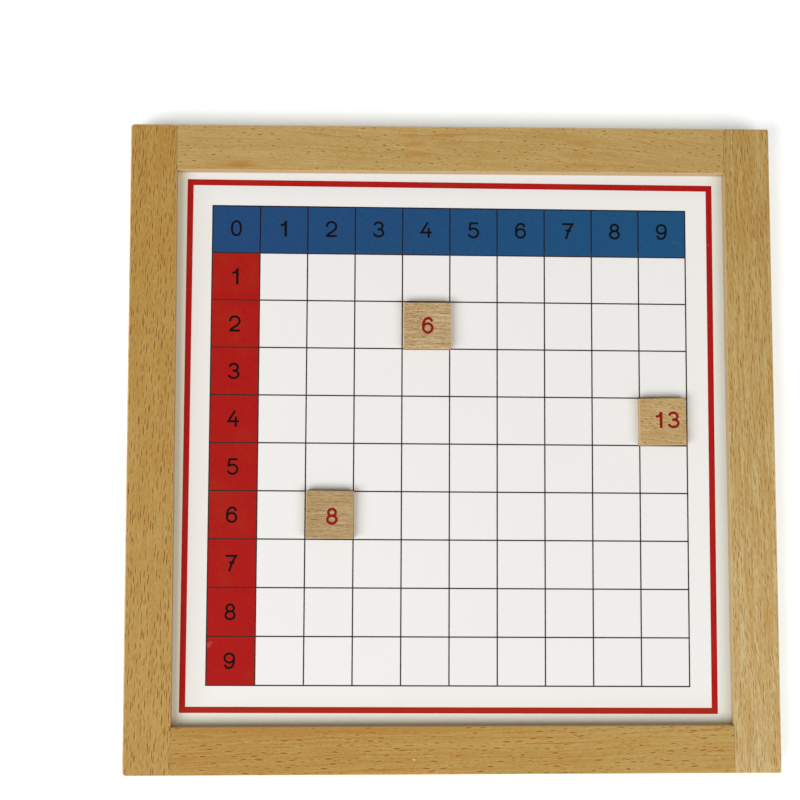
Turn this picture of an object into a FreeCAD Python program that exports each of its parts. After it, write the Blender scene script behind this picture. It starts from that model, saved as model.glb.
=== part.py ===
"""Addition memorization board: a framed chart of sums with three loose number tiles.

The board lies flat, chart up. X runs to the right, Y away from the reader and Z up. The origin is
the centre of the underside. All lengths are millimetres and all angles degrees.
"""
import FreeCAD, Part

import os

import Sketcher

Vector = FreeCAD.Vector

SIZES = [
    # The grid and the print round it
    ("cell_side", 25.0, "grid squares, centre to centre of the lines"),
    ("cells_across", 10, "grid squares from left to right"),
    ("cells_away", 10, "grid squares from the near edge to the far one"),
    ("grid_line_width", 0.65, "printed line between the squares"),
    ("chart_margin", 10.9, "centre of the grid's outer line to the red border"),
    ("border_line_width", 3.1, "red border line"),
    ("sheet_margin", 5.3, "red border to the frame strips, mean of both sides"),
    ("print_thickness", 0.1, "height of the printed fields on the sheet"),
    ("print_offset_x", -0.9, "centre of the red border, from the board's centre"),
    ("print_offset_y", 0.9, "centre of the red border, from the board's centre"),
    ("print_turn", -0.32, "turn of the print on the board, seen from above"),
    ("grid_offset_x", -0.5, "grid centre, from the red border's centre"),
    # The frame strips
    ("stile_width", 24.2, "width of the full-length strips at the sides"),
    ("rail_width", 24.2, "width of the strips between them"),
    ("board_thickness", 18.4, "height of all four strips"),
    ("outer_arris_radius", 0.8, "easing of the board's outer edges and right corners"),
    ("left_corner_extra", 1.2, "how much rounder the left corners are, seen from above"),
    ("inner_arris_radius", 0.35, "easing of the edges round the opening"),
    # The groove and what sits in it
    ("groove_depth", 6.0, "depth of the panel groove into each strip"),
    ("groove_floor_height", 8.2, "underside of the board to the groove's floor"),
    ("panel_thickness", 3.0, "base panel"),
    ("sheet_thickness", 0.3, "printed chart sheet"),
    ("panel_headroom", 0.2, "play above the sheet in the groove"),
    ("panel_edge_play", 0.5, "play between the panel's edge and the groove's end"),
    ("tongue_fit", 0.1, "groove height less tongue thickness"),
    ("tongue_end_gap", 0.3, "play between the tongue's end and the groove's end"),
    ("tongue_end_bevel", 0.5, "lead-in bevel at the tongue's end"),
    # The number tiles
    ("tile_play", 0.4, "grid square less the tile's side"),
    ("tile_thickness", 5.0, "tile"),
    ("tile_edge_radius", 0.4, "easing of all the tile's edges"),
]

# Each tile: name, column and row of its square counted from the corner square, shift of its centre
# from the square's centre to the right and away from the reader, and its turn on the grid.
TILES = [
    ("tile_with_six", 4, 2, 0.5, -0.9, 0.45),
    ("tile_with_thirteen", 9, 4, -1.1, -0.2, 1.05),
    ("tile_with_eight", 2, 6, 0.3, 0.2, -0.4),
]

# Lengths that follow from the driving sizes, as expressions.
GRID_WIDTH = "(Sizes.cells_across * Sizes.cell_side)"
GRID_DEPTH = "(Sizes.cells_away * Sizes.cell_side)"
GRID_LEFT = f"(Sizes.grid_offset_x - {GRID_WIDTH} / 2)"
GRID_NEAR = f"(-{GRID_DEPTH} / 2)"
FIELD_SIDE = "(Sizes.cell_side - Sizes.grid_line_width)"
INSIDE_BORDER_WIDTH = f"({GRID_WIDTH} + 2 * Sizes.chart_margin)"
INSIDE_BORDER_DEPTH = f"({GRID_DEPTH} + 2 * Sizes.chart_margin)"
BORDER_WIDTH = f"({INSIDE_BORDER_WIDTH} + 2 * Sizes.border_line_width)"
BORDER_DEPTH = f"({INSIDE_BORDER_DEPTH} + 2 * Sizes.border_line_width)"
OPENING_WIDTH = f"({BORDER_WIDTH} + 2 * Sizes.sheet_margin)"
OPENING_DEPTH = f"({BORDER_DEPTH} + 2 * Sizes.sheet_margin)"
BOARD_WIDTH = f"({OPENING_WIDTH} + 2 * Sizes.stile_width)"
BOARD_DEPTH = f"({OPENING_DEPTH} + 2 * Sizes.rail_width)"
GROOVE_HEIGHT = "(Sizes.panel_thickness + Sizes.sheet_thickness + Sizes.panel_headroom)"
PANEL_REACH = "(Sizes.groove_depth - Sizes.panel_edge_play)"
TONGUE_REACH = "(Sizes.groove_depth - Sizes.tongue_end_gap)"
SHEET_BOTTOM = "(Sizes.groove_floor_height + Sizes.panel_thickness)"
SHEET_TOP = f"({SHEET_BOTTOM} + Sizes.sheet_thickness)"
TILE_SIDE = "(Sizes.cell_side - Sizes.tile_play)"
PRINT_FRAME = (
    f"placement(vector(Sizes.print_offset_x; Sizes.print_offset_y; {SHEET_TOP}); "
    "rotation(vector(0; 0; 1); Sizes.print_turn))"
)


def make_sizes(doc):
    """Put every driving size on a sheet, one named cell each."""
    sheet = doc.addObject("Spreadsheet::Sheet", "Sizes")
    rows = list(SIZES)
    for name, column, row, shift_x, shift_y, turn in TILES:
        rows.append((f"{name}_column", column, "square counted from the left"))
        rows.append((f"{name}_row", row, "square counted from the far edge"))
        rows.append((f"{name}_shift_x", shift_x, "off the square's centre, to the right"))
        rows.append((f"{name}_shift_y", shift_y, "off the square's centre, to the far edge"))
        rows.append((f"{name}_turn", turn, "turn on the grid, seen from above"))
    for line, (alias, value, note) in enumerate(rows, start=1):
        sheet.set(f"A{line}", alias)
        sheet.set(f"B{line}", str(value))
        sheet.setAlias(f"B{line}", alias)
        sheet.set(f"C{line}", note)
    doc.recompute()
    return sheet


def make_body(doc, name):
    """Start a body, which may hold separate solids, such as a row of printed squares."""
    body = doc.addObject("PartDesign::Body", name)
    body.Label = name
    body.AllowCompound = True
    return body


def make_sketch(body, name, plane_role):
    """Start a sketch on one of the body's own origin planes."""
    sketch = body.newObject("Sketcher::SketchObject", name)
    plane = [item for item in body.Origin.OriginFeatures if item.Role == plane_role][0]
    sketch.AttachmentSupport = (plane, [""])
    sketch.MapMode = "FlatFace"
    return sketch


def dimension(sketch, kind, references, expression):
    """Add a distance to a sketch and bind it to an expression of the sizes."""
    index = sketch.addConstraint(Sketcher.Constraint(kind, *references, 1.0))
    sketch.setExpression(f"Constraints[{index}]", expression)


def add_rectangle(sketch, left, bottom, width, height):
    """Draw an upright rectangle whose corner and size are expressions."""
    first = sketch.GeometryCount
    corners = [Vector(1, 1, 0), Vector(2, 1, 0), Vector(2, 2, 0), Vector(1, 2, 0)]
    for side in range(4):
        sketch.addGeometry(Part.LineSegment(corners[side], corners[(side + 1) % 4]))
    for side in range(4):
        following = first + (side + 1) % 4
        sketch.addConstraint(Sketcher.Constraint("Coincident", first + side, 2, following, 1))
        direction = "Vertical" if side % 2 else "Horizontal"
        sketch.addConstraint(Sketcher.Constraint(direction, first + side))
    dimension(sketch, "DistanceX", (-1, 1, first, 1), left)
    dimension(sketch, "DistanceY", (-1, 1, first, 1), bottom)
    dimension(sketch, "DistanceX", (first, 1, first, 2), width)
    dimension(sketch, "DistanceY", (first + 1, 1, first + 1, 2), height)


def add_pad(body, name, sketch, length, symmetric=False):
    """Raise a sketch by a length given as an expression."""
    pad = body.newObject("PartDesign::Pad", name)
    pad.Profile = sketch
    pad.setExpression("Length", length)
    if symmetric:
        pad.SideType = "Symmetric"
    return pad


def cut_through(doc, body, name, sketch):
    """Cut a sketch through the whole body, both ways, and check that it took something away."""
    doc.recompute()
    before = body.Shape.Volume
    pocket = body.newObject("PartDesign::Pocket", name)
    pocket.Profile = sketch
    pocket.Type = "ThroughAll"
    pocket.SideType = "Symmetric"
    doc.recompute()
    if body.Shape.Volume >= before:
        raise RuntimeError(f"{body.Name}: {name} cut nothing")
    return pocket


def edges_that(shape, wanted):
    """Name the edges whose bounding box passes a test."""
    names = []
    for number, edge in enumerate(shape.Edges, start=1):
        if wanted(edge.BoundBox):
            names.append(f"Edge{number}")
    return names


def round_edges(doc, body, name, radius, wanted):
    """Fillet the chosen edges of a body's present shape with a radius from the sizes."""
    doc.recompute()
    base = body.Tip
    fillet = body.newObject("PartDesign::Fillet", name)
    fillet.Base = (base, edges_that(base.Shape, wanted))
    fillet.setExpression("Radius", radius)
    doc.recompute()


def bevel_edges(doc, body, name, size, wanted):
    """Chamfer the chosen edges of a body's present shape with a size from the sizes."""
    doc.recompute()
    base = body.Tip
    bevel = body.newObject("PartDesign::Chamfer", name)
    bevel.Base = (base, edges_that(base.Shape, wanted))
    bevel.setExpression("Size", size)
    doc.recompute()


def same(first, second):
    """Tell whether two lengths are equal to a hundredth."""
    return abs(first - second) < 0.01


def lies_flat_at(box, levels):
    """Tell whether a box is level and at one of the given heights."""
    return same(box.ZMin, box.ZMax) and any(same(box.ZMin, level) for level in levels)


def every_edge(box):
    """Choose every edge."""
    return True


def add_groove(doc, body, plane_role, strip_width):
    """Cut the panel groove into a strip's inner edge, along its whole length."""
    outline = make_sketch(body, "groove_outline", plane_role)
    add_rectangle(
        outline,
        f"{strip_width} - Sizes.groove_depth",
        "Sizes.groove_floor_height",
        "2 * Sizes.groove_depth",
        GROOVE_HEIGHT,
    )
    cut_through(doc, body, "groove", outline)


def place_strip(body, x, y, turned):
    """Put a strip's own origin at a place on the board's edge, with its groove facing inwards."""
    turn = 180 if turned else 0
    body.setExpression("Placement", f"placement(vector({x}; {y}; 0); rotation(vector(0; 0; 1); {turn}))")


def grooved_stile(doc, sizes, name, corner_radius):
    """A full-length strip. Its own X runs from the outer face to the groove, its Y along it."""
    body = make_body(doc, name)
    blank = make_sketch(body, "blank_outline", "XZ_Plane")
    add_rectangle(blank, "0", "0", "Sizes.stile_width", "Sizes.board_thickness")
    add_pad(body, "blank", blank, BOARD_DEPTH, symmetric=True)
    add_groove(doc, body, "XZ_Plane", "Sizes.stile_width")

    width = sizes.stile_width
    faces = (0, sizes.board_thickness)

    def outer_corner(box):
        upright = same(box.ZMin, faces[0]) and same(box.ZMax, faces[1])
        return upright and same(box.XMax, 0)

    def inner_arris(box):
        return lies_flat_at(box, faces) and same(box.XMin, width)

    def outer_arris(box):
        return lies_flat_at(box, faces) and box.XMin < width / 2

    round_edges(doc, body, "corner_rounding", corner_radius, outer_corner)
    round_edges(doc, body, "inner_easing", "Sizes.inner_arris_radius", inner_arris)
    round_edges(doc, body, "outer_easing", "Sizes.outer_arris_radius", outer_arris)
    return body


def tongued_rail(doc, sizes, name):
    """A strip between the stiles. Its own Y runs from the outer face to the groove, its X along it."""
    body = make_body(doc, name)
    blank = make_sketch(body, "blank_outline", "YZ_Plane")
    add_rectangle(blank, "0", "0", "Sizes.rail_width", "Sizes.board_thickness")
    add_pad(body, "blank", blank, OPENING_WIDTH, symmetric=True)
    tongue = make_sketch(body, "tongue_outline", "YZ_Plane")
    tongue_bottom = "Sizes.groove_floor_height + Sizes.tongue_fit / 2"
    tongue_height = f"{GROOVE_HEIGHT} - Sizes.tongue_fit"
    add_rectangle(tongue, "0", tongue_bottom, "Sizes.rail_width", tongue_height)
    add_pad(body, "tongues", tongue, f"{OPENING_WIDTH} + 2 * {TONGUE_REACH}", symmetric=True)
    add_groove(doc, body, "YZ_Plane", "Sizes.rail_width")

    width = sizes.rail_width
    faces = (0, sizes.board_thickness)
    tongue_end = body.Shape.BoundBox.XMax

    def long_tongue_end(box):
        at_end = same(abs(box.Center.x), tongue_end)
        return at_end and same(box.ZMin, box.ZMax)

    def inner_arris(box):
        return lies_flat_at(box, faces) and same(box.YMin, width)

    def outer_arris(box):
        return lies_flat_at(box, faces) and same(box.YMax, 0)

    bevel_edges(doc, body, "tongue_bevel", "Sizes.tongue_end_bevel", long_tongue_end)
    round_edges(doc, body, "inner_easing", "Sizes.inner_arris_radius", inner_arris)
    round_edges(doc, body, "outer_easing", "Sizes.outer_arris_radius", outer_arris)
    return body


def frame_strips(doc, sizes):
    """The four strips, each with its groove towards the middle of the board."""
    right_radius = "Sizes.outer_arris_radius"
    left_radius = f"{right_radius} + Sizes.left_corner_extra"
    left = grooved_stile(doc, sizes, "left_stile", left_radius)
    right = grooved_stile(doc, sizes, "right_stile", right_radius)
    near = tongued_rail(doc, sizes, "bottom_rail")
    far = tongued_rail(doc, sizes, "top_rail")
    place_strip(left, f"-{BOARD_WIDTH} / 2", "0", turned=False)
    place_strip(right, f"{BOARD_WIDTH} / 2", "0", turned=True)
    place_strip(near, "0", f"-{BOARD_DEPTH} / 2", turned=False)
    place_strip(far, "0", f"{BOARD_DEPTH} / 2", turned=True)


def grooved_in_plate(doc, name, thickness, bottom):
    """A flat plate that fills the opening and reaches into the groove on all four sides."""
    plate = doc.addObject("Part::Box", name)
    plate.Label = name
    width = f"({OPENING_WIDTH} + 2 * {PANEL_REACH})"
    depth = f"({OPENING_DEPTH} + 2 * {PANEL_REACH})"
    plate.setExpression("Length", width)
    plate.setExpression("Width", depth)
    plate.setExpression("Height", thickness)
    plate.setExpression("Placement.Base.x", f"-{width} / 2")
    plate.setExpression("Placement.Base.y", f"-{depth} / 2")
    plate.setExpression("Placement.Base.z", bottom)


def printed_body(doc, name):
    """A body whose own origin is the print's centre on the sheet's upper face."""
    body = make_body(doc, name)
    body.setExpression("Placement", PRINT_FRAME)
    return body


def repeat(body, name, feature, axis_role, length, count):
    """Repeat a feature at even steps along one of the body's own axes."""
    pattern = body.newObject("PartDesign::LinearPattern", name)
    axis = [item for item in body.Origin.OriginFeatures if item.Role == axis_role][0]
    pattern.Originals = [feature]
    pattern.Direction = (axis, [""])
    pattern.setExpression("Length", length)
    pattern.setExpression("Occurrences", count)
    body.Tip = pattern
    return pattern


def red_border(doc):
    """The red line that frames the chart."""
    body = printed_body(doc, "red_border")
    outline = make_sketch(body, "line_outline", "XY_Plane")
    for width, depth in ((BORDER_WIDTH, BORDER_DEPTH), (INSIDE_BORDER_WIDTH, INSIDE_BORDER_DEPTH)):
        add_rectangle(outline, f"-{width} / 2", f"-{depth} / 2", width, depth)
    add_pad(body, "line", outline, "Sizes.print_thickness")


def grid_lines(doc):
    """The thin dark lines round all the squares, in one piece."""
    body = printed_body(doc, "grid_lines")
    line = "Sizes.grid_line_width"
    left = f"{GRID_LEFT} - {line} / 2"
    near = f"{GRID_NEAR} - {line} / 2"
    away = make_sketch(body, "away_outline", "XY_Plane")
    add_rectangle(away, left, near, line, f"{GRID_DEPTH} + {line}")
    first_away = add_pad(body, "first_line_away", away, "Sizes.print_thickness")
    repeat(body, "lines_away", first_away, "X_Axis", GRID_WIDTH, "Sizes.cells_across + 1")
    across = make_sketch(body, "across_outline", "XY_Plane")
    add_rectangle(across, left, near, f"{GRID_WIDTH} + {line}", line)
    first_across = add_pad(body, "first_line_across", across, "Sizes.print_thickness")
    repeat(body, "lines_across", first_across, "Y_Axis", GRID_DEPTH, "Sizes.cells_away + 1")


def number_squares(doc, name, near, axis_role, count):
    """A run of printed squares, each filling a grid square up to its lines."""
    body = printed_body(doc, name)
    square = make_sketch(body, "square_outline", "XY_Plane")
    left = f"{GRID_LEFT} + Sizes.grid_line_width / 2"
    add_rectangle(square, left, near, FIELD_SIDE, FIELD_SIDE)
    first_square = add_pad(body, "first_square", square, "Sizes.print_thickness")
    repeat(body, "squares", first_square, axis_role, f"({count} - 1) * Sizes.cell_side", count)


def number_fields(doc):
    """The blue squares along the far edge and the red ones below the corner square."""
    far_row = f"{GRID_DEPTH} / 2 - Sizes.cell_side + Sizes.grid_line_width / 2"
    near_row = f"{GRID_NEAR} + Sizes.grid_line_width / 2"
    number_squares(doc, "blue_number_row", far_row, "X_Axis", "Sizes.cells_across")
    number_squares(doc, "red_number_column", near_row, "Y_Axis", "(Sizes.cells_away - 1)")


def number_tile(doc, name):
    """A small square tile. Its own origin is the centre of its underside."""
    body = make_body(doc, name)
    outline = make_sketch(body, "tile_outline", "XY_Plane")
    add_rectangle(outline, f"-{TILE_SIDE} / 2", f"-{TILE_SIDE} / 2", TILE_SIDE, TILE_SIDE)
    add_pad(body, "blank", outline, "Sizes.tile_thickness")
    round_edges(doc, body, "easing", "Sizes.tile_edge_radius", every_edge)
    across = f"{GRID_LEFT} + (Sizes.{name}_column + 0.5) * Sizes.cell_side + Sizes.{name}_shift_x"
    away = f"{GRID_DEPTH} / 2 - (Sizes.{name}_row + 0.5) * Sizes.cell_side + Sizes.{name}_shift_y"
    on_grid = (
        f"placement(vector({across}; {away}; Sizes.print_thickness); "
        f"rotation(vector(0; 0; 1); Sizes.{name}_turn))"
    )
    body.setExpression("Placement", f"{PRINT_FRAME} * {on_grid}")


def check_document(doc):
    """Stop if any object failed to build."""
    for item in doc.Objects:
        if "Invalid" in item.State or "Error" in item.State:
            raise RuntimeError(f"{item.Name} failed: {item.State}")


def export_parts(doc, names):
    """Write each sub-part's checked shape to its own file."""
    os.makedirs("parts", exist_ok=True)
    for name in names:
        shape = doc.getObjectsByLabel(name)[0].Shape
        if shape.isNull() or not shape.isValid():
            raise RuntimeError(f"{name} has no valid shape")
        shape.exportStep(f"parts/{name}.step")
        print(f"{name}: {len(shape.Solids)} solid(s), {shape.Volume / 1000:.3f} cm3")


def main():
    doc = FreeCAD.newDocument("addition_board")
    sizes = make_sizes(doc)
    frame_strips(doc, sizes)
    grooved_in_plate(doc, "base_panel", "Sizes.panel_thickness", "Sizes.groove_floor_height")
    grooved_in_plate(doc, "chart_sheet", "Sizes.sheet_thickness", SHEET_BOTTOM)
    red_border(doc)
    grid_lines(doc)
    number_fields(doc)
    tile_names = [tile[0] for tile in TILES]
    for name in tile_names:
        number_tile(doc, name)
    doc.recompute()
    check_document(doc)
    frame_names = ["left_stile", "right_stile", "top_rail", "bottom_rail"]
    chart_names = ["base_panel", "chart_sheet", "red_border", "grid_lines"]
    square_names = ["blue_number_row", "red_number_column"]
    export_parts(doc, frame_names + chart_names + square_names + tile_names)


main()
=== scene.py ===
import math

import bmesh
import bpy
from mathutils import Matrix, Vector
from mathutils.geometry import delaunay_2d_cdt


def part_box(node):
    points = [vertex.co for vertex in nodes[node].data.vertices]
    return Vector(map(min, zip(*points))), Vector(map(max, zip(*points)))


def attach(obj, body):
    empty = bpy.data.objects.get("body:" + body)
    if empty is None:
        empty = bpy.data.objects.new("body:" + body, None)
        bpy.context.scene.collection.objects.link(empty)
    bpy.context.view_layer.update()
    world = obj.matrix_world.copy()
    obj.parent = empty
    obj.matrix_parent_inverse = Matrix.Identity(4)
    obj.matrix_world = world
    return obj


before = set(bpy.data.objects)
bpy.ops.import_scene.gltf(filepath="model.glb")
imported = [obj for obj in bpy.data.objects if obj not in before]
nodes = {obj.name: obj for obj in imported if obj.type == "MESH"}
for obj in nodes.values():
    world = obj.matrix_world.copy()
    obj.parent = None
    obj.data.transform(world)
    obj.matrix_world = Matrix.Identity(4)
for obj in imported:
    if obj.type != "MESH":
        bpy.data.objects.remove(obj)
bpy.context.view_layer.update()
scene = bpy.context.scene
MM = 0.001

# Places on the board in millimetres, from its middle or its underside
BOARD_EDGE = 168.5
BOARD_TOP = 18.4
OPENING_EDGE = 144.3             # the inner walls, and the rails' joints in line with them
BETWEEN_WALLS = (150.0, 160.0)   # past the inner walls, and short of the outer ones
PANEL_MIDDLE = 9.7


# Colour management, camera and light

scene.view_settings.view_transform = "Standard"
scene.view_settings.look = "None"

camera = bpy.data.objects.new("camera", bpy.data.cameras.new("camera"))
camera.data.lens = 80.35
camera.data.sensor_width = 36.0
camera.data.clip_start = 0.05
camera.data.clip_end = 20.0
camera.location = (-0.0623, -0.0674, 0.9407)
camera.rotation_euler = (math.radians(5.616), math.radians(-2.157), math.radians(-0.039))
scene.collection.objects.link(camera)
scene.camera = camera


LAMP_TILT = math.radians(29.6)
LAMP_TINT = (1.0, 0.997, 1.0)


def soft_box(name, place, size, power):
    """A rectangular lamp that faces down and away from the reader."""
    lamp = bpy.data.lights.new(name, "AREA")
    lamp.shape = "RECTANGLE"
    lamp.size, lamp.size_y = size
    lamp.energy = power
    lamp.color = LAMP_TINT
    holder = bpy.data.objects.new(name, lamp)
    holder.location = place
    holder.rotation_euler = (LAMP_TILT, 0.0, 0.0)
    scene.collection.objects.link(holder)


soft_box("left_light", (-2.50, -1.38, 2.43), (3.38, 1.82), 121.0)
soft_box("right_light", (1.96, -1.38, 2.43), (2.84, 1.82), 57.0)

world = bpy.data.worlds.new("studio")
world.use_nodes = True
world.node_tree.nodes["Background"].inputs["Color"].default_value = (1.0, 0.91, 0.71, 1.0)
world.node_tree.nodes["Background"].inputs["Strength"].default_value = 0.27
scene.world = world


# Node materials

def srgb(red, green, blue):
    """A colour given as 0 to 255 values, in the linear values that a shader takes."""
    linear = []
    for value in (red, green, blue):
        share = value / 255.0
        linear.append(share / 12.92 if share <= 0.04045 else ((share + 0.055) / 1.055) ** 2.4)
    return (linear[0], linear[1], linear[2], 1.0)


class Material:
    """One material, whose nodes are added a line at a time."""

    def __init__(self, name):
        self.data = bpy.data.materials.new(name)
        self.data.use_nodes = True
        self.tree = self.data.node_tree
        self.tree.nodes.clear()

    def add(self, kind, inputs, **settings):
        node = self.tree.nodes.new(kind)
        for key, value in settings.items():
            setattr(node, key, value)
        for key, value in inputs.items():
            if isinstance(value, bpy.types.NodeSocket):
                self.tree.links.new(value, node.inputs[key])
            else:
                node.inputs[key].default_value = value
        return node

    def math(self, operation, first, second=0.0):
        return self.add("ShaderNodeMath", {0: first, 1: second}, operation=operation).outputs[0]

    def plus(self, first, *others):
        for other in others:
            first = self.math("ADD", first, other)
        return first

    def times(self, first, *others):
        for other in others:
            first = self.math("MULTIPLY", first, other)
        return first

    def minus(self, first, second):
        return self.math("SUBTRACT", first, second)

    def over(self, first, second):
        return self.math("DIVIDE", first, second)

    def larger(self, first, second):
        return self.math("MAXIMUM", first, second)

    def absolute(self, value):
        return self.math("ABSOLUTE", value)

    def reach(self, x, y, middle_x, middle_y, half_x, half_y):
        """Zero at the middle of an ellipse, and one on its edge."""
        part_x = self.over(self.minus(x, middle_x), half_x)
        part_y = self.over(self.minus(y, middle_y), half_y)
        return self.plus(self.times(part_x, part_x), self.times(part_y, part_y))

    def ease(self, value, low, high, out_low=0.0, out_high=1.0):
        """Goes smoothly from out_low to out_high as the value goes from low to high."""
        node = self.add("ShaderNodeMapRange", {"Value": value, "From Min": low, "From Max": high,
                                               "To Min": out_low, "To Max": out_high},
                        interpolation_type="SMOOTHSTEP")
        return node.outputs["Result"]

    def blend(self, share, first, second, mode="MIX"):
        node = self.add("ShaderNodeMix", {0: share, 6: first, 7: second}, data_type="RGBA",
                        blend_type=mode)
        return node.outputs[2]

    def join(self, x, y, z):
        return self.add("ShaderNodeCombineXYZ", {0: x, 1: y, 2: z}).outputs[0]

    def split(self, vector):
        node = self.add("ShaderNodeSeparateXYZ", {0: vector})
        return node.outputs[0], node.outputs[1], node.outputs[2]

    def place(self, turn=0.0, shift=(0.0, 0.0, 0.0)):
        """The place on the object in millimetres, turned and shifted."""
        source = self.add("ShaderNodeTexCoord", {}).outputs["Object"]
        node = self.add("ShaderNodeMapping", {"Vector": source, "Location": shift,
                                              "Rotation": (0.0, 0.0, math.radians(turn)),
                                              "Scale": (1.0 / MM, 1.0 / MM, 1.0 / MM)})
        return node.outputs[0]

    def facing(self):
        """How far the surface faces along X, Y and Z, whichever way."""
        normal = self.add("ShaderNodeNewGeometry", {}).outputs["Normal"]
        return [self.absolute(part) for part in self.split(normal)]

    def noise(self, vector, scale=1.0, detail=2.0, roughness=0.5):
        node = self.add("ShaderNodeTexNoise", {"Vector": vector, "Scale": scale, "Detail": detail,
                                               "Roughness": roughness})
        return node.outputs[0]

    def spots(self, vector, randomness=1.0):
        """Scattered points: the nearest one's Distance and Position, and three random values as its Color."""
        return self.add("ShaderNodeTexVoronoi", {"Vector": vector, "Scale": 1.0,
                                                 "Randomness": randomness}).outputs

    def specks(self, colour, tone, shift, radii, strength, share):
        """Small round specks at a share of scattered points, fading out between the two radii."""
        nearest = self.spots(self.place(shift=shift))
        pick = self.split(nearest["Color"])[0]
        speck = self.times(self.ease(nearest["Distance"], *radii, strength, 0.0),
                           self.ease(pick, share, share + 0.01, 1.0, 0.0))
        return self.blend(speck, colour, tone)

    def finish(self, colour, roughness, height, depth_mm, specular=0.4, coat=0.0):
        bump = self.add("ShaderNodeBump", {"Height": height, "Strength": 1.0, "Distance": depth_mm * MM})
        self.shader = self.add("ShaderNodeBsdfPrincipled", {"Base Color": colour, "Roughness": roughness,
                                                            "Specular IOR Level": specular,
                                                            "Coat Weight": coat, "Coat Roughness": 0.3,
                                                            "Normal": bump.outputs[0]})
        self.add("ShaderNodeOutputMaterial", {"Surface": self.shader.outputs[0]})
        return self.data


CHIP_TONE = srgb(236, 230, 220)
NOTCH_TONE = srgb(62, 36, 22)
OUTER_WALL_TONE = srgb(222, 194, 148)
ROUNDED_WEAR_AND_HIGHLIGHT_TONE = srgb(224, 200, 152)
EDGE_HIGHLIGHT_TONE = srgb(232, 208, 164)
JOINT_TONE = srgb(88, 66, 44)


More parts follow.
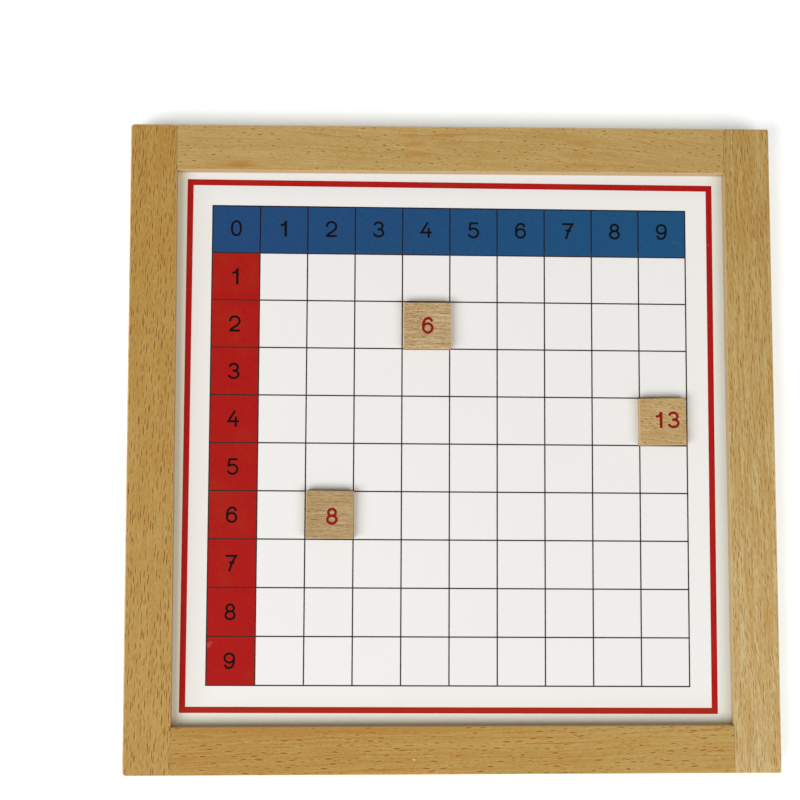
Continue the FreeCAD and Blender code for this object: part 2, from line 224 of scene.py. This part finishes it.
def beech(name, grain, tones, flecks, seed, mottle, streak, lines, turn=0.0, wander=(1.0, 70.0),
          slope=0.0, bow=0.0, drift=0.0, fade=None, stains=(), chips=(), notches=(),
          wall=(0.45, srgb(226, 198, 156)), ends=(0.5, srgb(134, 94, 52)), joints=0.0, edge_highlight=0.0):
    """Varnished beech: fibres, growth lines and the short dark flecks of its rays.

    Lengths are in millimetres and the turn is in degrees.
    grain: the way it runs, X or Y
    tones: light, dark, growth line and fleck
    flecks: layers, each with its spacing across and along, half the width and length, share, strength,
        lean and the spread of the lean
    mottle: strength of the fibres and pores
    streak: width, length and strength
    lines: spacing, strength, and where in the spacing they start to darken
    wander: how far the grain strays, and over what length
    slope, bow: how the grain runs aslant, and how it curves
    drift: how much darker it gets along 100
    fade: what the colour is multiplied by at the far end
    stains: middle, half sizes and strength
    chips: middle and size of pale specks
    notches: middle and half sizes of dark gaps
    wall, ends: share and colour of another tone on walls inside the frame and on end grain
    joints: how dark the joint lines are at the top right
    edge_highlight: how strong the painted highlight along the board's left and top outer edges is
    """
    light, dark, line_tone, fleck_tone = tones
    made = Material(name)
    x, y, z = made.split(made.place(turn=turn))
    nx, ny, nz = made.facing()
    along, across = (x, y) if grain == "X" else (y, x)

    # side is constant along the grain, run goes with it
    stray, stray_length = wander
    bend = made.noise(made.join(made.over(across, stray_length * 0.5), made.over(along, stray_length), seed))
    bend = made.times(made.minus(bend, 0.5), stray * 2.0)
    course = made.times(along, made.plus(made.times(along, bow), slope))
    side = made.minus(made.plus(across, bend, seed * 37.0), course)
    run = made.plus(along, seed * 91.0)

    def grain_noise(step_side, step_run, detail=2.0, roughness=0.5):
        vector = made.join(made.over(side, step_side), made.over(run, step_run), made.over(z, step_side))
        return made.minus(made.noise(vector, detail=detail, roughness=roughness), 0.5)

    streak_width, streak_length, streak_strength = streak
    fibre = grain_noise(0.30, 2.2, detail=3.0, roughness=0.6)
    pores = grain_noise(0.50, 1.3, detail=3.0, roughness=0.6)
    streaks = grain_noise(streak_width, streak_length, detail=3.0, roughness=0.6)
    cloud = grain_noise(9.0, 26.0)
    shade = made.plus(made.times(fibre, 1.4 * mottle), made.times(pores, 1.2 * mottle),
                      made.times(streaks, 1.5 * streak_strength), made.times(cloud, 0.8),
                      made.times(along, drift / 100.0), 0.55)
    colour = made.blend(shade, light, dark)

    # small patches of a more orange tone
    hue = made.ease(grain_noise(1.2, 5.0, detail=3.0), -0.2, 0.25, 0.0, 0.22)
    colour = made.blend(hue, colour, line_tone)

    # growth lines: thin, darkest at one side, and fading in and out
    spacing, line_strength, line_start = lines
    ring = made.plus(side, made.times(z, 0.6))
    ring = made.plus(made.over(ring, spacing), made.times(grain_noise(13.0, 110.0, detail=3.0), 4.5))
    phase = made.math("FRACT", ring)
    present = made.ease(grain_noise(7.0, 45.0), -0.12, 0.15, 0.15, 1.0)
    late = made.times(made.ease(phase, line_start, 0.95), made.ease(phase, 0.95, 1.0, 1.0, 0.0), present)
    colour = made.blend(made.ease(phase, 0.0, 0.25, 0.4 * line_strength, 0.0), colour, light)
    colour = made.blend(made.times(late, line_strength), colour, line_tone)

    # ray flecks: slim pointed spindles along the grain with a pale rim, fainter on the strip's sides
    upright = made.ease(nz, 0.3, 0.9, 0.55, 1.0)
    slim = made.ease(nz, 0.3, 0.9, 110.0, 0.0)
    lift = 0.5    # sets each column of flecks off from the next one
    marks = 0.0
    for layer, values in enumerate(flecks):
        across_step, along_step, half_width, half_length, share, strength, lean, spread = values
        column = made.over(side, across_step)
        lifted = made.plus(made.over(run, along_step), made.times(column, lift))
        cell = made.join(column, lifted, made.plus(made.over(z, 6.0), layer * 5.3))
        nearest = made.spots(cell, 0.85)
        pick, size, tone = made.split(nearest["Color"])
        way = made.add("ShaderNodeVectorMath", {0: cell, 1: nearest["Position"]}, operation="SUBTRACT")
        way_side, way_run, way_depth = made.split(way.outputs[0])
        way_run = made.minus(way_run, made.times(way_side, lift))
        grow = made.ease(size, 0.0, 1.0, 0.5, 1.2)
        tilt = made.times(made.ease(tone, 0.0, 1.0, lean - spread, lean + spread), along_step / across_step)
        off = made.minus(way_side, made.times(way_run, tilt))
        wide = made.over(made.absolute(off), made.times(grow, half_width / across_step))
        long = made.over(way_run, made.times(grow, half_length / along_step))
        mark = made.minus(made.minus(1.0, wide), made.times(long, long))
        mark = made.minus(mark, made.times(way_depth, way_depth, slim))
        limit = made.plus(share, made.times(grain_noise(6.0, 34.0, detail=1.0), share * 0.8))
        chosen = made.times(made.math("LESS_THAN", pick, limit), upright)
        rim = made.times(made.ease(mark, -2.4, -0.2, 0.0, 0.30 * strength), chosen)
        colour = made.blend(rim, colour, light)
        mark = made.times(made.ease(mark, 0.0, 0.40), chosen,
                          made.ease(size, 0.0, 0.8, 0.35 * strength, strength))
        colour = made.blend(mark, colour, fleck_tone)
        marks = made.larger(marks, mark)

    # marks that this strip shows, its stains streaky along the grain
    for middle_x, middle_y, half_x, half_y, strength in stains:
        reach = made.plus(made.reach(x, y, middle_x, middle_y, half_x, half_y), made.times(streaks, 5.0))
        colour = made.blend(made.ease(reach, -0.2, 1.3, strength, 0.0), colour, line_tone)
    for middle_x, middle_y, size in chips:
        reach = made.reach(x, y, middle_x, middle_y, size, size * 0.6)
        colour = made.blend(made.ease(reach, 0.5, 1.2, 0.9, 0.0), colour, CHIP_TONE)
    for notch in notches:
        reach = made.reach(x, y, *notch)
        colour = made.blend(made.ease(reach, 0.4, 1.3, 0.85, 0.0), colour, NOTCH_TONE)

    if fade:
        far = made.ease(along, 0.5 - BOARD_EDGE, BOARD_EDGE - 0.5)
        colour = made.blend(far, colour, fade, "MULTIPLY")

    # side walls and end grain have tones of their own, and the rounded edges are lighter, partly rubbed wear
    # and partly a painted highlight
    flank, end = (ny, nx) if grain == "X" else (nx, ny)
    flank = made.ease(flank, 0.6, 0.95)
    farther = made.larger(made.absolute(x), made.absolute(y))
    inside = made.times(flank, made.ease(farther, *BETWEEN_WALLS, 1.0, 0.0))
    outside = made.times(flank, made.ease(farther, *BETWEEN_WALLS))
    colour = made.blend(made.times(inside, wall[0]), colour, wall[1])
    colour = made.blend(made.times(outside, 0.35), colour, OUTER_WALL_TONE)
    colour = made.blend(made.ease(end, 0.6, 0.95, 0.0, ends[0]), colour, ends[1])
    # painted highlight with wear: the rounded edges blend to a lighter tone
    flat = made.larger(nx, made.larger(ny, nz))
    colour = made.blend(made.ease(flat, 0.80, 0.995, 0.6, 0.0), colour, ROUNDED_WEAR_AND_HIGHLIGHT_TONE)

    # painted highlight: a light, patchy line along the board's left and top outer edges
    if edge_highlight:
        patchy = made.noise(made.join(made.over(x, 6.0), made.over(y, 6.0), seed), detail=3.0)
        edge = made.larger(made.times(x, -1.0), y)
        edge = made.times(made.ease(edge, BOARD_EDGE - 1.0, BOARD_EDGE - 0.4, 0.0, edge_highlight),
                          made.ease(patchy, 0.35, 0.65, 0.3, 1.0),
                          made.ease(z, BOARD_TOP - 1.0, BOARD_TOP - 0.4))
        colour = made.blend(edge, colour, EDGE_HIGHLIGHT_TONE)

    if joints:
        # the line where a rail's shoulder meets a stile, thin, broken and darkest at the top right
        gap = made.absolute(made.minus(made.absolute(x), OPENING_EDGE))
        broken = made.noise(made.join(seed, made.over(y, 2.4), 0.0), detail=3.0)
        place = made.plus(made.ease(x, -10.0, 10.0, 0.2, 0.5), made.ease(y, -10.0, 10.0, 0.2, 0.5))
        line = made.times(made.ease(gap, 0.10, 0.32, 1.0, 0.0), made.ease(broken, 0.42, 0.62, 0.1, 1.0),
                          made.ease(made.absolute(y), OPENING_EDGE - 0.4, OPENING_EDGE - 0.1),
                          made.times(place, joints))
        colour = made.blend(line, colour, JOINT_TONE)

    roughness = made.plus(made.times(fibre, 0.2), 0.50)
    height = made.minus(made.plus(fibre, pores), made.times(marks, 0.4))
    return made.finish(colour, roughness, height, 0.03, specular=0.22, coat=0.04)


left_wood = beech(
    "beech_left_stile", "Y",
    (srgb(186, 158, 93), srgb(167, 125, 51), srgb(170, 116, 52), srgb(134, 72, 20)),
    ((2.1, 8.8, 0.25, 3.6, 1.0, 1.0, 0.015, 0.02), (1.6, 6.0, 0.22, 2.3, 0.78, 1.0, 0.015, 0.03)),
    seed=1.0, slope=0.03, drift=0.09, mottle=1.3, streak=(1.0, 30.0, 0.8), lines=(6.0, 0.2, 0.6),
    notches=((-144.4, 145.2, 0.35, 1.1), (-144.3, -145.2, 0.35, 1.1), (-144.25, -152.6, 0.3, 1.2)),
    wall=(0.4, srgb(228, 184, 112)), joints=0.85, edge_highlight=0.5)
right_wood = beech(
    "beech_right_stile", "Y",
    (srgb(205, 189, 141), srgb(184, 149, 82), srgb(178, 126, 56), srgb(146, 84, 16)),
    ((2.6, 16.0, 0.30, 6.5, 0.85, 0.50, -0.03, 0.02), (2.0, 7.2, 0.23, 3.0, 0.95, 0.88, -0.03, 0.02),
     (1.5, 5.2, 0.19, 2.1, 0.75, 0.72, -0.06, 0.03)),
    seed=2.0, wander=(0.9, 20.0), slope=-0.02, fade=(0.835, 0.765, 0.57, 1.0),
    mottle=0.9, streak=(1.5, 32.0, 1.9), lines=(3.2, 0.5, 0.6), joints=0.85)
top_wood = beech(
    "beech_top_rail", "X",
    (srgb(191, 167, 112), srgb(176, 142, 78), srgb(172, 120, 54), srgb(152, 92, 32)),
    ((3.0, 7.6, 0.31, 1.3, 0.66, 1.0, -0.05, 0.12), (2.0, 5.0, 0.26, 0.9, 0.60, 0.75, -0.05, 0.2)),
    seed=3.0, wander=(1.6, 120.0), slope=-0.055, bow=-0.00019, mottle=1.3,
    streak=(1.0, 70.0, 1.1), lines=(3.4, 0.60, 0.78),
    stains=((-110.8, 147.4, 7.0, 1.6, 0.80), (-113.5, 147.0, 14.0, 2.2, 0.45),
            (-19.0, 153.3, 10.0, 1.8, 0.60), (-20.0, 158.7, 6.5, 1.4, 0.50),
            (-2.0, 159.0, 7.0, 1.4, 0.45), (-4.0, 163.9, 8.0, 1.6, 0.50),
            (-22.0, 163.2, 7.0, 1.2, 0.42), (70.0, 160.5, 10.0, 2.2, 0.60),
            (67.0, 153.5, 8.0, 2.0, 0.50), (72.0, 148.0, 12.0, 1.6, 0.50)), joints=0.85, edge_highlight=0.5)
bottom_wood = beech(
    "beech_bottom_rail", "X",
    (srgb(184, 157, 90), srgb(169, 128, 55), srgb(164, 98, 36), srgb(150, 80, 22)),
    ((3.0, 8.4, 0.34, 2.2, 0.78, 1.0, 0.0, 0.10), (2.1, 6.0, 0.29, 1.4, 0.66, 0.75, 0.0, 0.16)),
    seed=4.0, wander=(1.8, 100.0), slope=0.02, drift=-0.20, mottle=1.3, streak=(1.0, 80.0, 1.2),
    lines=(3.6, 0.9, 0.80), stains=((-60.0, -146.0, 80.0, 1.8, 0.35),),
    chips=((-20.4, -160.9, 0.55),), wall=(0.8, srgb(238, 202, 134)), joints=0.85)


def plywood(name):
    """Thin plywood panel: pale veneer faces with soft growth lines, and its layers at the edges."""
    made = Material(name)
    x, y, z = made.split(made.place())
    bend = made.noise(made.join(made.over(x, 170.0), made.over(y, 60.0), 5.0))
    side = made.plus(y, made.times(bend, 34.0))
    fibre = made.noise(made.join(made.over(x, 11.0), made.over(side, 0.4), z), detail=4.0, roughness=0.65)
    wide = made.noise(made.join(made.over(x, 240.0), made.over(side, 16.0), 2.0), detail=3.0)
    phase = made.math("FRACT", made.plus(made.over(side, 15.0), made.times(wide, 1.6)))
    line = made.times(made.ease(phase, 0.3, 0.85), made.ease(phase, 0.85, 1.0, 1.0, 0.0))
    shade = made.plus(made.times(fibre, 0.8), made.times(wide, 0.35), made.times(line, 0.09))
    colour = made.blend(made.ease(shade, 0.25, 1.05), srgb(222, 200, 162), srgb(196, 168, 126))
    pores = made.noise(made.join(made.over(x, 2.6), made.over(side, 0.35), 9.0), detail=1.0)
    colour = made.blend(made.ease(pores, 0.66, 0.78, 0.0, 0.45), colour, srgb(160, 126, 84))
    layer = made.ease(made.absolute(made.minus(z, PANEL_MIDDLE)), 0.45, 0.55, 0.6, 0.0)
    layer = made.times(layer, made.ease(made.facing()[2], 0.4, 0.6, 1.0, 0.0))
    colour = made.blend(layer, colour, srgb(150, 112, 70))
    return made.finish(colour, made.plus(made.times(fibre, 0.15), 0.55), fibre, 0.02)


def paper(name):
    """White satin sheet with a faint tooth, a few specks, and painted shade near the frame's walls: darker,
    tinted margins that stand in for the shade and bounced light there.
    """
    made = Material(name)
    spot = made.place()
    x, y = made.split(spot)[:2]
    tooth = made.noise(spot, scale=2.6, detail=3.0)
    cloud = made.noise(spot, scale=0.03)
    colour = made.blend(made.times(cloud, 0.6), srgb(235, 236, 239), srgb(232, 233, 235))
    colour = made.blend(made.ease(tooth, 0.3, 0.8, 0.0, 0.25), colour, srgb(226, 225, 221))
    # painted shade: the margins by the left and bottom walls are darkened as the shade there would darken
    # them
    rim = made.larger(made.ease(x, -134.0, -120.0, 1.0, 0.0), made.ease(y, -138.0, -126.0, 1.0, 0.0))
    colour = made.blend(made.times(rim, 0.40), colour, srgb(219, 216, 209))
    # painted shade: the margin by the top wall is darkened and cooled, against the light the lit top wall
    # throws onto it
    colour = made.blend(made.ease(y, 128.0, 141.0, 0.0, 0.9), colour, srgb(222, 226, 231))
    # painted shade: a warm tint close to the bottom wall, in the colour of its shadow
    low = made.times(made.ease(y, -143.5, -141.5, 0.1, 0.8), made.ease(y, -138.2, -136.5, 1.0, 0.0))
    colour = made.blend(low, colour, srgb(227, 229, 222))
    # painted shade: tints by the left and right walls that stand in for the shade and bounced light there
    colour = made.blend(made.ease(x, -139.8, -137.5, 0.9, 0.0), colour, srgb(226, 225, 211))
    colour = made.blend(made.ease(x, 136.0, 138.5, 0.0, 0.7), colour, srgb(222, 228, 223))
    colour = made.specks(colour, srgb(150, 140, 128), (3.0, 5.0, 0.0), (0.05, 0.12), 0.35, 0.02)
    return made.finish(colour, made.plus(made.times(tooth, 0.12), 0.45), tooth, 0.01, specular=0.2)


def ink(name, main, other, dust, scale=0.9, drift=0.0, head=None, tinge=None, smudges=()):
    """Printed ink: mottled between two close colours, with a little pale dust.

    Drift is how far it goes to the other colour along X. Head is a height and the colour above it.
    Tinge is the colour of faint wide clouds, fuller at the lower end. Smudges are pale: middle, size in
    millimetres and strength.
    """
    made = Material(name)
    spot = made.place()
    x, y = made.split(spot)[:2]
    wide = made.noise(spot, scale=scale, detail=3.0, roughness=0.65)
    fine = made.noise(spot, scale=scale * 4.0)
    shade = made.plus(made.times(wide, 0.7), made.times(fine, 0.3), made.times(x, drift / 100.0))
    colour = made.blend(made.ease(shade, 0.3, 0.7), main, other)
    if head:
        colour = made.blend(made.ease(y, head[0], head[0] + 1.0, 0.0, 0.8), colour, head[1])
    if tinge:
        cloud = made.noise(spot, scale=0.035, detail=4.0, roughness=0.7)
        share = made.larger(made.ease(cloud, 0.48, 0.70, 0.0, 0.6), made.ease(y, -136.5, -130.0, 0.8, 0.0))
        colour = made.blend(share, colour, tinge)
    colour = made.specks(colour, dust, (11.0, 7.0, 0.0), (0.06, 0.18), 0.5, 0.03)
    for middle_x, middle_y, size, strength in smudges:
        reach = made.plus(made.reach(x, y, middle_x, middle_y, size, size), made.times(fine, 2.4))
        colour = made.blend(made.ease(reach, 0.9, 2.4, strength, 0.0), colour, dust)
    return made.finish(colour, made.plus(made.times(fine, 0.14), 0.50), fine, 0.008, specular=0.08)


red_ink = ink("ink_red", srgb(164, 15, 17), srgb(168, 26, 20), srgb(205, 140, 130), tinge=srgb(163, 38, 21),
              smudges=((-125.9, -102.8, 1.5, 0.22), (-124.6, -101.6, 1.0, 0.18), (136.6, 107.2, 0.4, 0.6)))
blue_ink = ink("ink_blue", srgb(33, 68, 118), srgb(27, 82, 126), srgb(120, 150, 170), drift=0.09,
               smudges=((118.4, 108.5, 0.35, 0.8),))
# the grid lines are blacker where they cross the blue row
blue_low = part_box("blue_number_row")[0][1] / MM
line_ink = ink("ink_grid_lines", srgb(40, 31, 28), srgb(58, 47, 42), srgb(110, 100, 96),
               head=(blue_low + 2.0, srgb(14, 20, 34)))
digit_ink = ink("ink_chart_digits", srgb(9, 7, 9), srgb(16, 13, 15), srgb(60, 56, 56))
tile_ink = ink("ink_tile_digits", srgb(130, 16, 15), srgb(142, 26, 22), srgb(170, 100, 80), scale=1.4)


def dress(name, material):
    for slot in nodes[name].material_slots:
        slot.material = material


dress("left_stile", left_wood)
dress("right_stile", right_wood)
dress("top_rail", top_wood)
dress("bottom_rail", bottom_wood)
dress("base_panel", plywood("plywood_panel"))
dress("chart_sheet", paper("chart_paper"))
dress("red_border", red_ink)
dress("red_number_column", red_ink)
dress("blue_number_row", blue_ink)
dress("grid_lines", line_ink)


# Numbers: each digit is a set of strokes, drawn on a grid this high between stroke middles
DIGIT_GRID = 100.0
ARC_STEP = 7.5     # degrees
SWEEP_STEPS = 6


def arc(x, y, half_width, half_height, start, stop, square=2.0):
    """Points along part of an ellipse, or of a squarer oval."""
    count = max(4, int(abs(stop - start) / ARC_STEP))
    points = []
    for step in range(count + 1):
        angle = math.radians(start + (stop - start) * step / count)
        cosine, sine = math.cos(angle), math.sin(angle)
        points.append((x + half_width * math.copysign(abs(cosine) ** (2.0 / square), cosine),
                       y + half_height * math.copysign(abs(sine) ** (2.0 / square), sine)))
    return points


def sweep(*marks):
    """Points along a smooth curve through the marks, some steps from each to the next."""
    points = []
    for step in range(len(marks) - 1):
        a = Vector(marks[max(step - 1, 0)])
        b = Vector(marks[step])
        c = Vector(marks[step + 1])
        d = Vector(marks[min(step + 2, len(marks) - 1)])
        for part in range(SWEEP_STEPS):
            t = part / SWEEP_STEPS
            point = 0.5 * (2.0 * b + (c - a) * t + (2.0 * a - 5.0 * b + 4.0 * c - d) * t * t
                           + (3.0 * b - a - 3.0 * c + d) * t * t * t)
            points.append(tuple(point))
    points.append(marks[-1])
    return points


SIX_HOOK = sweep((30, 76), (20, 94), (1, 100), (-20, 89), (-30.5, 64), (-31.5, 36))
SIX_BOWL = arc(0, 31, 32, 31, 0, 360)
# the 2's sweep leaves its first stretch to the arc
DIGITS = {
    "0": [arc(0, 50, 31.5, 50, 0, 360, square=2.25)],
    "1": [[(11, -7), (11, 106)], [(13.5, -7), (13.5, 106)],
          sweep((-24, 74), (-13, 75), (0, 80), (8, 91), (11, 104))],
    "2": [arc(0, 68, 33, 32, 187, -28)
          + sweep((27, 49), (14, 36), (-8, 22), (-24, 10), (-33, -3))[SWEEP_STEPS:],
          [(-38, 0), (37, 0)]],
    "3": [arc(-2.5, 75, 29, 25, 172, -72) + [(-11, 51)], arc(-2.5, 26, 34, 26, 76, -172)],
    "4": [[(12, 105), (-33, 31), (40, 31)], [(18, 64), (18, -7)]],
    "5": [[(34, 100), (-21, 100), (-28, 52)], arc(0, 31, 34, 32, 146, -164)],
    "6": [SIX_BOWL, SIX_HOOK],
    "7": [[(-38, 100), (36, 100)] + sweep((24, 83), (12, 60), (2, 34), (-11, -7)), [(-13, 54), (25, 54)]],
    "8": [arc(0, 76, 25.5, 24, 0, 360), arc(0, 27, 31.5, 27, 0, 360)],
    "9": [[(-px, 100 - py) for px, py in SIX_BOWL], [(-px, 100 - py) for px, py in SIX_HOOK]],
}

SHARPEST_MITRE = 0.42    # keeps a sharp corner's outer point from running far out
INK_SUNK = 0.01
INK_PROUD = 0.03
SAME_POINT = 1e-4


def ribbon(points, width):
    """Four-cornered faces along a stroke, half its width to each side, with mitred corners."""
    points = [Vector(point) for point in points]
    closed = (points[0] - points[-1]).length < 1e-6
    if closed:
        points = points[:-1]
    count = len(points)
    pairs = []
    for step, point in enumerate(points):
        before = points[step - 1] if closed or step > 0 else None
        after = points[(step + 1) % count] if closed or step < count - 1 else None
        into = (point - before).normalized() if before is not None else (after - point).normalized()
        out = (after - point).normalized() if after is not None else into
        side = Vector((-(into.y + out.y), into.x + out.x)).normalized()
        square_on = max(SHARPEST_MITRE, side.dot(Vector((-into.y, into.x))))
        reach = side * (width / 2.0 / square_on)
        pairs.append((point + reach, point - reach))
    last = count if closed else count - 1
    return [(pairs[step][1], pairs[(step + 1) % count][1], pairs[(step + 1) % count][0], pairs[step][0])
            for step in range(last)]


def number_faces(text, height, stroke, spacing=0.0):
    """The faces of a number in millimetres round its own middle."""
    unit = (height - stroke) / DIGIT_GRID
    faces = []
    for place, character in enumerate(text):
        middle = (place - (len(text) - 1) / 2.0) * spacing
        for points in DIGITS[character]:
            for face in ribbon(points, stroke / unit):
                faces.append([Vector((corner.x * unit + middle, (corner.y - DIGIT_GRID / 2.0) * unit))
                              for corner in face])
    return faces


def number_piece(name, numbers, surface, material):
    """One thin piece of ink on a surface, with all the numbers given, each at its place and turn."""
    low, high = surface - INK_SUNK, surface + INK_PROUD
    mesh = bmesh.new()
    for faces, centre, turn in numbers:
        spin_x, spin_y = math.cos(turn), math.sin(turn)
        corners = []
        loops = []
        for face in faces:
            loop = []
            for corner in face:
                loop.append(len(corners))
                corners.append(Vector((centre[0] + corner.x * spin_x - corner.y * spin_y,
                                       centre[1] + corner.x * spin_y + corner.y * spin_x)))
            loops.append(loop)
        # the strokes' overlapping faces become one flat outline, which is then raised
        merged = delaunay_2d_cdt(corners, [], loops, 0, SAME_POINT, True)
        points, triangles, sources = merged[0], merged[2], merged[5]
        verts = [mesh.verts.new((point.x * MM, point.y * MM, low * MM)) for point in points]
        inked = []
        for triangle, faces_under in zip(triangles, sources):
            if faces_under:
                inked.append(mesh.faces.new([verts[index] for index in triangle]))
        lifted = bmesh.ops.extrude_face_region(mesh, geom=inked, use_keep_orig=True)
        raised = [item for item in lifted["geom"] if isinstance(item, bmesh.types.BMVert)]
        bmesh.ops.translate(mesh, verts=raised, vec=(0.0, 0.0, (high - low) * MM))
        bmesh.ops.delete(mesh, geom=[vert for vert in verts if not vert.link_faces], context="VERTS")
    bmesh.ops.recalc_face_normals(mesh, faces=mesh.faces)
    data = bpy.data.meshes.new(name)
    mesh.to_mesh(data)
    mesh.free()
    data.materials.append(material)
    piece = bpy.data.objects.new(name, data)
    scene.collection.objects.link(piece)
    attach(piece, "root")


# The chart's numbers, placed in the grid's own directions from its corner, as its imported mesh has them
CELL = 25.0
LINE = 0.65
PRINT_TURN = math.radians(-0.32)
CHART_DIGIT_HEIGHT = 8.6
CHART_STROKE = 1.12
along_x = Vector((math.cos(PRINT_TURN), math.sin(PRINT_TURN)))
along_y = Vector((-math.sin(PRINT_TURN), math.cos(PRINT_TURN)))
flat_points = [Vector((vert.co.x, vert.co.y)) / MM for vert in nodes["grid_lines"].data.vertices]
grid_left = min(point.dot(along_x) for point in flat_points) + LINE / 2.0
grid_top = max(point.dot(along_y) for point in flat_points) - LINE / 2.0
print_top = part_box("blue_number_row")[1][2] / MM


def chart_number(number, column, row, shift_x, shift_y):
    """A number's faces, its place at a shift from the middle of a square of the grid, and its turn."""
    reach_x = grid_left + (column + 0.5) * CELL + shift_x
    reach_y = grid_top - (row + 0.5) * CELL + shift_y
    return (number_faces(str(number), CHART_DIGIT_HEIGHT, CHART_STROKE),
            along_x * reach_x + along_y * reach_y, PRINT_TURN)


row_numbers = [chart_number(column, column, 0, -0.08, 0.6 + 0.075 * column) for column in range(10)]
column_numbers = [chart_number(row, 0, row, -0.1 - 0.06 * row, 0.0) for row in range(1, 10)]
number_piece("blue_row_digits", row_numbers, print_top, digit_ink)
number_piece("red_column_digits", column_numbers, print_top, digit_ink)


# Tiles: name, number, turn in degrees, shift of the number from the tile's middle, seed, the grain's
# slope, mottle and strength of streaks, tones, flecks
TILE_DIGIT_HEIGHT = 8.8
TILE_STROKE = 1.35
TILE_DIGIT_SPACING = 7.6
SHORT_DASHES = ((1.7, 9.0, 0.18, 3.4, 0.85, 1.0, 0.0, 0.03), (0.9, 3.4, 0.16, 1.3, 0.70, 0.95, 0.0, 0.08))
THIN_DASHES = ((1.4, 9.0, 0.15, 3.6, 0.80, 1.0, 0.0, 0.03), (0.8, 4.4, 0.14, 1.6, 0.65, 0.9, 0.0, 0.05))
SLANT_DASHES = ((2.2, 4.2, 0.24, 1.2, 0.85, 1.0, -0.14, 0.10), (1.4, 3.2, 0.18, 0.8, 0.65, 0.9, -0.12, 0.12))
TILES = [
    ("tile_with_six", "6", 0.13, (0.2, 0.25), 11.0, (0.0, 1.7, 2.4),
     (srgb(202, 185, 147), srgb(166, 131, 83), srgb(166, 115, 74), srgb(134, 82, 52)), SHORT_DASHES),
    ("tile_with_thirteen", "13", 0.73, (1.95, 0.9), 12.0, (-0.12, 1.3, 1.8),
     (srgb(199, 176, 129), srgb(174, 143, 90), srgb(172, 124, 68), srgb(138, 86, 38)), SLANT_DASHES),
    ("tile_with_eight", "8", -0.72, (1.15, -0.85), 13.0, (0.02, 1.3, 2.2),
     (srgb(189, 168, 127), srgb(162, 131, 86), srgb(160, 120, 74), srgb(130, 86, 50)), THIN_DASHES),
]
for name, text, turn, (shift_x, shift_y), seed, (slope, mottle, bands), tones, dashes in TILES:
    dress(name, beech("beech_" + name, "X", tones, dashes, seed=seed, mottle=mottle,
                      streak=(0.7, 18.0, bands), lines=(2.4, 0.4, 0.6), turn=-turn, wander=(0.4, 14.0),
                      slope=slope, wall=(0.7, srgb(116, 80, 46)), ends=(0.45, srgb(216, 188, 140))))
    low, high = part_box(name)
    middle = ((low[0] + high[0]) / 2.0 / MM + shift_x, (low[1] + high[1]) / 2.0 / MM + shift_y)
    faces = number_faces(text, TILE_DIGIT_HEIGHT, TILE_STROKE, TILE_DIGIT_SPACING)
    number_piece("digits_" + name, [(faces, middle, math.radians(turn))], high[2] / MM, tile_ink)


# Floor, just under the board so that the two faces don't meet
FLOOR_SIDE = 6.0
FLOOR_HEIGHT = -0.0001


def plain_floor():
    """Nearly white, and faintly lit from below as a light table is."""
    made = Material("pale_floor")
    cloud = made.noise(made.place(), scale=0.004)
    colour = made.blend(cloud, srgb(249, 249, 250), srgb(252, 252, 252))
    made.finish(colour, 0.7, cloud, 0.01, specular=0.2)
    made.shader.inputs["Emission Color"].default_value = (0.78, 0.90, 1.0, 1.0)
    made.shader.inputs["Emission Strength"].default_value = 0.34
    return made.data


bpy.ops.mesh.primitive_plane_add(size=FLOOR_SIDE, location=(0.0, 0.0, FLOOR_HEIGHT))
floor = bpy.context.active_object
floor.name = "floor"
floor.data.materials.append(plain_floor())
